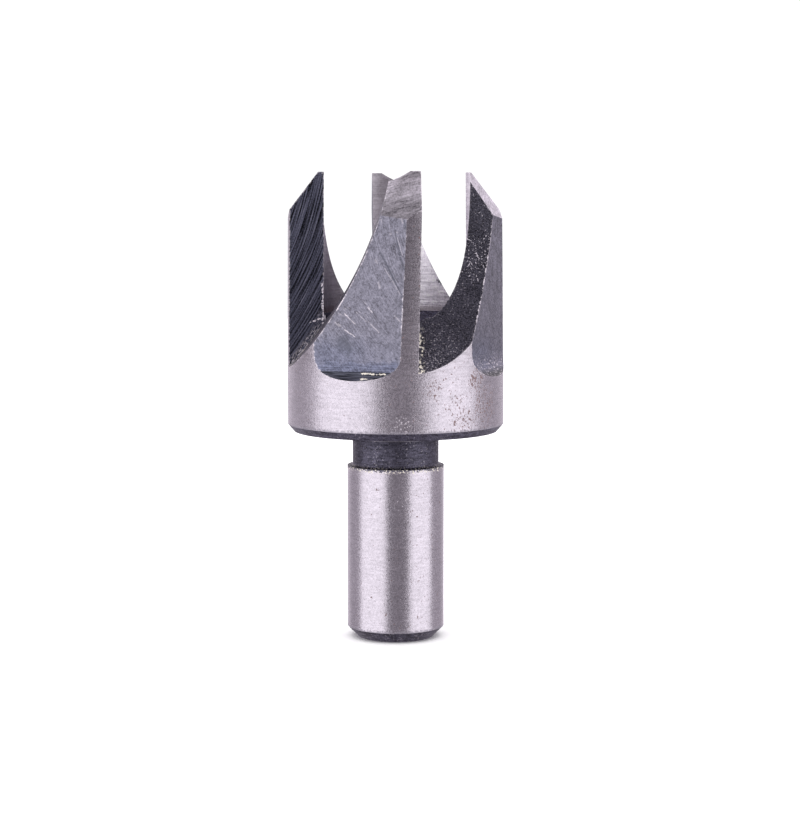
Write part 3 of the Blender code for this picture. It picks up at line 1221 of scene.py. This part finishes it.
def make_reamed_steel(steel, colours):
    """Wall of the bore, with close lines round it, two darker patches, the low one painted shade, and a
    brown foot.
    """
    bench = steel.bench
    lines = steel.value("turned_lines", pitch=0.18, reach=3.0)
    grain = steel.value("grain", size=0.2, seed=9.0)
    clouds = steel.value("clouds", size=1.2, seed=3.0)
    colour = bench.tinted(colours.reamed, steel.tone((lines, 0.17), (grain, 0.14), (clouds, 0.11)))
    # Two darker patches: painted shade low in the bore on the left, and a darker place high on the back
    # claw.
    for centre, radius, amount in BORE_DARK_PATCHES:
        dull = steel.mask("patch", centre=centre, radius=radius, rag=0.4)
        colour = steel.stain(colour, dull, amount, colours.bore_dark_patch)
    low = bench.between(steel.height, BORE_FLOOR + 0.2, BORE_FLOOR + 0.9, 0.4, 0.0)
    colour = bench.mix(low, colour, colours.rust)
    colour = steel.nicks(steel.stain, colour, BORE_NICKS, 0.9, colours.flank)
    steel.finish(colour, 0.40, grain, lines, 0.01)


def make_relief_steel(steel, colours):
    """Blue-grey relief flat with curved and slanting scratches, nicks, a bluer foot and painted highlights
    along its edges and beside its grooves.
    """
    bench = steel.bench
    height = steel.height
    across = bench.parts(steel.place)[0]
    in_front = steel.by_claw(1.0, 0.0)
    bent = steel.effect("bent", centre=FLAT_ARCS, radius=15.0)["Place"]
    arcs = steel.effect("scratches", place=bent, spacing=0.14, length=1.6, share=0.24)
    slanting = steel.effect("scratches", angle=0.72, spacing=0.12, length=1.0, share=0.22, seed=8.0)
    level = steel.value("scratches", spacing=0.14, length=2.2, seed=5.0)
    grain = steel.value("grain", size=0.17, seed=4.0)
    clouds = steel.value("clouds", size=0.9, seed=2.0)
    blotches = steel.value("clouds", size=0.42, seed=6.0)

    low = bench.plus(height, bench.times(clouds, 0.3))
    foot = bench.times(bench.between(low, 28.8, 29.9, 1.0, 0.0), in_front)
    left = bench.between(across, -1.5, 2.5, 0.7, 0.2)
    blue = bench.times(bench.between(low, 29.5, 33.0, 1.0, 0.0), left)
    curved = bench.times(bench.between(height, 33.0, 40.0, 0.09, 0.18), bench.minus(1.0, foot))
    tone = steel.tone(
        (arcs["Value"], curved), (slanting["Value"], 0.04), (grain, 0.30), (clouds, 0.1), (blotches, 0.12)
    )
    tone = bench.plus(bench.times(bench.minus(tone, 1.0), steel.by_claw(1.0, 1.35)), 1.0)
    tone = bench.plus(tone, bench.times(bench.times(level, foot), 0.26))
    base = bench.mix(bench.math("MAXIMUM", foot, blue), colours.relief, colours.relief_foot)
    colour = bench.tinted(base, tone)
    colour = steel.nicks(steel.stain, colour, FLAT_GROOVES, 1.0, colours.runout)
    stain = steel.mask("patch", centre=FLAT_STAIN, radius=1.0, rag=2.6)
    colour = steel.stain(colour, stain, 0.62, colours.runout)

    above_foot = bench.between(low, 29.5, 31.5)
    colour = steel.lay(colour, arcs["Mask"], bench.times(above_foot, 0.14), colours.scratch)
    rubbed = steel.mask("patch", centre=FLAT_RUB, radius=2.2, rag=1.0)
    rubbed = bench.times(bench.plus(bench.times(rubbed, 0.4), 0.08), above_foot)
    colour = steel.lay(colour, slanting["Mask"], rubbed, colours.scratch)
    # Nicks, and the painted highlights beside the curved grooves.
    colour = steel.nicks(steel.lay, colour, FLAT_NICKS_AND_HIGHLIGHTS, 0.9, colours.scratch)
    # Painted highlights along the flat's edges, partly wear: a thin line down the left edge below the top,
    # broken ones on the right edge round height 34.4.
    edge = steel.worn_edge(width=0.15, break_size=0.3, share=0.7, seed=6.0)
    right_edge_highlight = bench.between(bench.away_from(height, 34.4), 1.6, 2.4, 0.8, 0.12)
    upper = bench.between(height, 42.0, 43.5, 0.7, 0.05)
    by_land = bench.between(across, 3.2, 4.0)
    worn = bench.plus(bench.times(by_land, bench.minus(right_edge_highlight, upper)), upper)
    colour = steel.lay(colour, edge, worn, colours.scratch)
    crumbs = steel.mask("flecks", size=0.22, share=0.27, seed=13.0)
    crumbed = bench.minus(bench.between(height, 28.4, 30.2, 0.85, 0.0), in_front)
    colour = steel.lay(colour, crumbs, crumbed, colours.scratch)
    steel.finish(colour, 0.40, grain, bench.plus(arcs["Value"], grain), 0.01)


def make_runout_steel(steel, colours):
    """Dark slope at the foot of the front relief flat, with torn crumbs. The other claws' is paler."""
    bench = steel.bench
    in_front = steel.by_claw(1.0, 0.0)
    lines = steel.value("scratches", spacing=0.12, length=2.0, seed=1.0)
    grain = steel.value("grain", size=0.17, seed=4.0)
    dark = bench.tinted(colours.runout, steel.tone((lines, 0.6)))
    pale = bench.mix(0.5, colours.relief, colours.relief_foot)
    pale = bench.tinted(pale, steel.tone((lines, 0.2), (grain, 0.35)))
    pale = bench.tinted(pale, bench.between(steel.height, 27.6, 28.5, 0.10, 0.95))
    colour = bench.mix(in_front, pale, dark)
    crumbs = steel.mask("flecks", size=0.22, share=0.25, seed=13.0)
    colour = steel.lay(colour, crumbs, bench.minus(0.7, in_front, clamp=True), colours.scratch)
    colour = steel.nicks(steel.lay, colour, RUNOUT_BURRS, 0.75, colours.burr)
    # Torn burrs along the run-out's edges, partly a painted edge highlight.
    edge = steel.worn_edge(width=0.1, break_size=0.5, share=0.5, seed=12.0)
    colour = steel.lay(colour, edge, 0.7, colours.burr)
    steel.finish(colour, 0.36, lines, lines, 0.012)


def make_bevel_steel(steel, colours):
    """Warm grey bevel with slanting grinding marks. The front one has painted shade at its foot and its
    tip.
    """
    bench = steel.bench
    height = steel.height
    marks = steel.effect("scratches", angle=-0.27, spacing=0.13, length=0.9, share=0.2, seed=3.0)
    bands = steel.value("scratches", angle=-0.35, spacing=0.6, length=3.0, seed=6.0)
    grain = steel.value("grain", size=0.17, seed=6.0)
    tone = steel.tone((marks["Value"], 0.2), (bands, 0.2), (grain, 0.24))
    # Painted shade on the front bevel: darker at its foot, a little lighter above, darker again at its tip.
    # The other claws' bevels are a little lighter.
    painted_foot_shade = bench.between(height, 44.0, 46.3, 0.65, 1.09)
    painted_tip_shade = bench.between(height, 46.9, 47.7, 1.0, 0.72)
    tone = bench.times(tone, steel.by_claw(bench.times(painted_foot_shade, painted_tip_shade), 1.04))
    browner = bench.between(height, 46.0, 48.5, 0.0, 0.10)
    colour = bench.tinted(bench.mix(browner, colours.bevel, colours.rust), tone)
    colour = steel.lay(colour, marks["Mask"], 0.16, colours.scratch)
    # Painted highlight along the bevel's foot edge, partly wear.
    edge = steel.worn_edge(width=0.14, break_size=0.35, share=0.7, seed=9.0)
    colour = steel.lay(colour, edge, bench.between(height, 43.7, 44.4, 0.0, 0.45), colours.scratch)
    steel.finish(colour, 0.38, grain, bench.plus(marks["Value"], grain), 0.01)


def make_rake_steel(steel, colours):
    """Blue-black leading face with the slotting wheel's arcs, and painted highlights near its corner and
    along its edges.
    """
    bench = steel.bench
    bent = steel.effect("bent", centre=RAKE_ARCS, radius=34.0)["Place"]
    arcs = steel.effect("scratches", place=bent, spacing=0.14, length=5.0, share=0.3, seed=2.0)
    grain = steel.value("grain", size=0.15, seed=3.0)
    strength = bench.between(steel.height, 31.0, 40.0, 0.6, 0.9)
    colour = bench.tinted(colours.rake, steel.tone((arcs["Value"], strength), (grain, 0.45)))
    colour = steel.lay(colour, arcs["Mask"], 0.2, colours.scratch)
    # Painted highlight near the corner with the flank: fine pale lines along the arcs, strongest towards
    # the outside.
    rubbed = steel.mask("scratches", place=bent, spacing=0.08, length=0.35, share=0.55, seed=6.0)
    corner_highlight = bench.between(steel.gap("corner_gap"), 0.3, 0.85, 0.7, 0.0)
    outside = bench.between(bench.parts(steel.place)[0], 7.6, 8.6, 0.3, 1.0)
    colour = steel.lay(colour, rubbed, bench.times(corner_highlight, outside), colours.scratch)
    colour = steel.nicks(steel.lay, colour, RAKE_BURRS, 0.7, colours.scratch)
    # Painted highlight along the leading face's edges, partly wear.
    edge = steel.worn_edge(width=0.14, break_size=0.3, share=0.7, seed=4.0)
    colour = steel.lay(colour, edge, 0.6, colours.scratch)
    steel.finish(colour, 0.42, grain, arcs["Value"], 0.012)


def make_flank_steel(steel, colours):
    """Blackened slot wall with fine pale flecks, scuffed half way up, chipped at its foot and with painted
    highlights along its outer edges.
    """
    bench = steel.bench
    height = steel.height
    grain = steel.value("grain", size=0.17, seed=1.0)
    clouds = steel.value("clouds", size=1.4, seed=8.0)
    scuffed = bench.between(bench.away_from(height, 39.0), 0.6, 3.6, 1.0, 0.0)
    chipped = steel.mask("patch", place=steel.body_place, centre=SLOT_CHIPS, radius=4.0, rag=0.5)
    share = bench.minus(steel.tone((clouds, 0.04), (scuffed, 0.06), (chipped, 0.11)), 0.85)
    flecks = steel.mask("flecks", size=0.16, share=share, seed=5.0)
    colour = bench.tinted(colours.flank, steel.tone((grain, 0.6), (clouds, 0.15)))
    colour = steel.lay(colour, flecks, bench.fade(scuffed, 0.45, 0.7), colours.scratch)
    colour = steel.nicks(steel.lay, colour, FLANK_NICKS, 0.65, colours.scratch)

    dull = bench.times(bench.between(clouds, -1.0, 0.7, 0.45, 1.0), steel.by_claw(0.0, 1.0))
    dull = bench.times(dull, bench.between(height, 33.0, 36.5, 0.9, 0.0))
    brown = bench.tinted(bench.mix(0.3, colours.runout, colours.rust), steel.tone((grain, 0.4)))
    colour = steel.lay(colour, dull, 0.8, brown)
    torn = bench.between(steel.gap("corner_gap"), 0.45, 0.8, 0.9, 0.0)
    torn = bench.times(torn, bench.between(height, 31.5, 33.0, 1.0, 0.0))
    chips = steel.mask("flecks", place=steel.body_place, size=0.28, share=0.36, seed=3.0)
    colour = steel.lay(colour, bench.times(torn, chips), 1.0, colours.burr)
    # Painted highlight along the flank's outer edges, partly wear, strongest towards the outside and round
    # height 37.5.
    edge = steel.worn_edge(width=0.16, break_size=0.3, share=0.68, seed=14.0)
    radius = bench.vector("DISTANCE", steel.body_place, bench.join(0.0, 0.0, height), "Value")
    outer = bench.between(radius, 8.2, 9.2, 0.25, 0.85)
    ends = bench.between(bench.away_from(height, 37.5), 3.0, 6.0, 1.0, 0.35)
    colour = steel.lay(colour, edge, bench.times(outer, ends), colours.scratch)
    steel.finish(colour, 0.46, grain, grain, 0.012)


MAKE_FINISH = {
    "ground_steel": make_ground_steel,
    "black_oxide": make_black_oxide,
    "reamed_steel": make_reamed_steel,
    "relief_steel": make_relief_steel,
    "runout_steel": make_runout_steel,
    "bevel_steel": make_bevel_steel,
    "rake_steel": make_rake_steel,
    "flank_steel": make_flank_steel,
}


# Studio

# Size of the floor's lumps, height of the side lights' middle, and the overhead light, in metres
# and watts
FLOOR_MOTTLE = 1.0 / 12.0
SIDE_LIGHT_MIDDLE = 0.1
FLOOR_LIGHT_SIZE = 2.5
FLOOR_LIGHT_HEIGHT = 1.2
FLOOR_LIGHT_ENERGY = 34.0

# Azimuths that the side lights fill, counted from the camera to its right, in degrees
LEFT_LIGHT = (-91.0, -22.0)
RIGHT_LIGHT = (33.5, 92.0)

# Brightness that the room gains above and behind the tool, and the least that the camera sees
ROOM_LIFT = 0.45
SEEN_WHITE = 1.1

# Width of the camera's sensor in millimetres
SENSOR_WIDTH = 36.0


def make_floor(studio):
    """Plain pale floor that the mirrors of the steel don't see."""
    half = studio.floor_size / 2
    mesh = bpy.data.meshes.new("floor")
    corners = [(-half, -half, 0.0), (half, -half, 0.0), (half, half, 0.0), (-half, half, 0.0)]
    mesh.from_pydata(corners, [], [(0, 1, 2, 3)])
    floor = new_object("floor", mesh)
    paint = bpy.data.materials.new("pale_floor")
    paint.use_nodes = True
    bench = Bench(paint.node_tree)
    shader = paint.node_tree.nodes["Principled BSDF"]
    spot = bench.node("ShaderNodeNewGeometry").outputs["Position"]
    mottle = bench.noise(spot, FLOOR_MOTTLE, detail=3.0)
    colour = bench.tinted(studio.floor_colour, bench.between(mottle, 0.2, 0.8, 0.98, 1.02))
    bench.feed(shader.inputs["Base Color"], colour)
    shader.inputs["Roughness"].default_value = 0.8
    shader.inputs["Specular IOR Level"].default_value = 0.0
    mesh.materials.append(paint)
    floor.visible_glossy = False
    floor.visible_shadow = False


def make_side_light(name, azimuths, studio):
    """A tall soft light that fills these azimuths."""
    near_angle, far_angle = (math.radians(azimuth) for azimuth in azimuths)
    middle = (near_angle + far_angle) / 2 + studio.camera_turn
    half_angle = abs(far_angle - near_angle) / 2
    distance = studio.light_distance
    width = 2 * distance * math.tan(half_angle)
    area = width * studio.light_height
    light = bpy.data.lights.new(name, "AREA")
    light.shape = "RECTANGLE"
    light.size = width
    light.size_y = studio.light_height
    light.energy = studio.side_brightness * math.pi * area
    lamp = new_object(name, light)
    lamp.location = (distance * math.sin(middle), -distance * math.cos(middle), SIDE_LIGHT_MIDDLE)
    lamp.rotation_euler = (math.pi / 2, 0.0, middle)
    lamp.visible_camera = False


def make_floor_light():
    """Overhead light that only matt surfaces take, so the floor stays pale under the tool."""
    light = bpy.data.lights.new("floor_light", "AREA")
    light.shape = "DISK"
    light.size = FLOOR_LIGHT_SIZE
    light.energy = FLOOR_LIGHT_ENERGY
    lamp = new_object("floor_light", light)
    lamp.location = (0.0, 0.0, FLOOR_LIGHT_HEIGHT)
    lamp.visible_camera = False
    lamp.visible_glossy = False


def make_room(studio):
    """Grey room, darker in front of the tool than behind it. The camera sees it white."""
    world = bpy.data.worlds.new("room")
    bpy.context.scene.world = world
    world.use_nodes = True
    bench = Bench(world.node_tree)
    background = world.node_tree.nodes["Background"]
    way = bench.node("ShaderNodeTexCoord").outputs["Generated"]
    _x, y, z = bench.parts(way)
    behind = bench.between(y, -0.2, 0.2)
    above = bench.between(z, 0.0, 0.3)
    brighter = studio.back_grey - studio.side_grey
    grey = bench.between(y, -0.2, 0.2, studio.front_grey, studio.side_grey)
    grey = bench.plus(grey, bench.between(y, 0.66, 1.0, 0.0, brighter))
    grey = bench.plus(grey, bench.times(bench.times(behind, above), ROOM_LIFT))
    seen = bench.node("ShaderNodeLightPath").outputs["Is Camera Ray"]
    strength = bench.math("MAXIMUM", grey, bench.times(seen, SEEN_WHITE))
    bench.feed(background.inputs["Color"], bench.mix(seen, studio.room_colour, (1.0, 1.0, 1.0)))
    bench.feed(background.inputs["Strength"], strength)


def make_camera(studio):
    """The camera at the photograph's angle."""
    camera = bpy.data.cameras.new("camera")
    camera.lens = studio.focal_length
    camera.sensor_width = SENSOR_WIDTH
    camera.clip_start = 0.01
    camera.clip_end = 10.0
    stand = new_object("camera", camera)
    stand.location = studio.camera_place
    stand.rotation_euler = (QUARTER_TURN - studio.camera_pitch, 0.0, studio.camera_turn)
    bpy.context.scene.camera = stand


# Operators


class CUTTER_OT_make_finishes(Operator):
    """Make the shared effects and the steel's finishes"""

    bl_idname = "cutter.make_finishes"
    bl_label = "Make finishes"

    def execute(self, context):
        for make_effect in EFFECTS:
            make_effect()
        for finish in FINISHES:
            MAKE_FINISH[finish](Steel(finish), context.scene.cutter_colours)
        return {"FINISHED"}


class CUTTER_OT_build_body(Operator):
    """Turn and cut the one-piece body over its frame"""

    bl_idname = "cutter.build_body"
    bl_label = "Build body"

    def execute(self, context):
        sizes = context.scene.cutter_sizes
        steels = {finish: bpy.data.materials[finish] for finish in FINISHES}
        body = turn_blank(sizes, steels)
        cut_claws(body, sizes, steels)
        meetings = {
            "edge_gap": edge_points(body.data, True),
            "corner_gap": edge_points(body.data, False),
        }
        split_faces(body, sizes)
        record_places(body, sizes, meetings)
        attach(body, BODY)
        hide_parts(CAD_NODE)
        return {"FINISHED"}


class CUTTER_OT_set_stage(Operator):
    """Set up the floor, the lights, the room and the camera"""

    bl_idname = "cutter.set_stage"
    bl_label = "Set stage"

    def execute(self, context):
        studio = context.scene.cutter_studio
        make_floor(studio)
        make_side_light("left_light", LEFT_LIGHT, studio)
        make_side_light("right_light", RIGHT_LIGHT, studio)
        make_floor_light()
        make_room(studio)
        make_camera(studio)
        context.scene.view_settings.view_transform = "Standard"
        return {"FINISHED"}


class CUTTER_PT_panel(Panel):
    """Lists the steps that build the cutter"""

    bl_idname = "CUTTER_PT_panel"
    bl_label = "Plug Cutter"
    bl_space_type = "VIEW_3D"
    bl_region_type = "UI"
    bl_category = "Plug Cutter"

    def draw(self, context):
        for operator in OPERATORS:
            self.layout.operator(operator.bl_idname)
        scene = context.scene
        for group in (scene.cutter_sizes, scene.cutter_colours, scene.cutter_studio):
            box = self.layout.box()
            for name in group.__annotations__:
                box.prop(group, name)


OPERATORS = (CUTTER_OT_make_finishes, CUTTER_OT_build_body, CUTTER_OT_set_stage)
CLASSES = (CutterSizes, CutterColours, StudioSettings, *OPERATORS, CUTTER_PT_panel)


def register():
    """Register the classes and hang the settings on the scene."""
    for kind in CLASSES:
        bpy.utils.register_class(kind)
    bpy.types.Scene.cutter_sizes = PointerProperty(type=CutterSizes)
    bpy.types.Scene.cutter_colours = PointerProperty(type=CutterColours)
    bpy.types.Scene.cutter_studio = PointerProperty(type=StudioSettings)


def unregister():
    """Take the settings and the classes away again."""
    del bpy.types.Scene.cutter_studio
    del bpy.types.Scene.cutter_colours
    del bpy.types.Scene.cutter_sizes
    for kind in reversed(CLASSES):
        bpy.utils.unregister_class(kind)


def main():
    """Build everything in order."""
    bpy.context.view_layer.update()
    register()
    bpy.ops.cutter.make_finishes()
    bpy.ops.cutter.build_body()
    bpy.ops.cutter.set_stage()


if __name__ == "__main__":
    main()
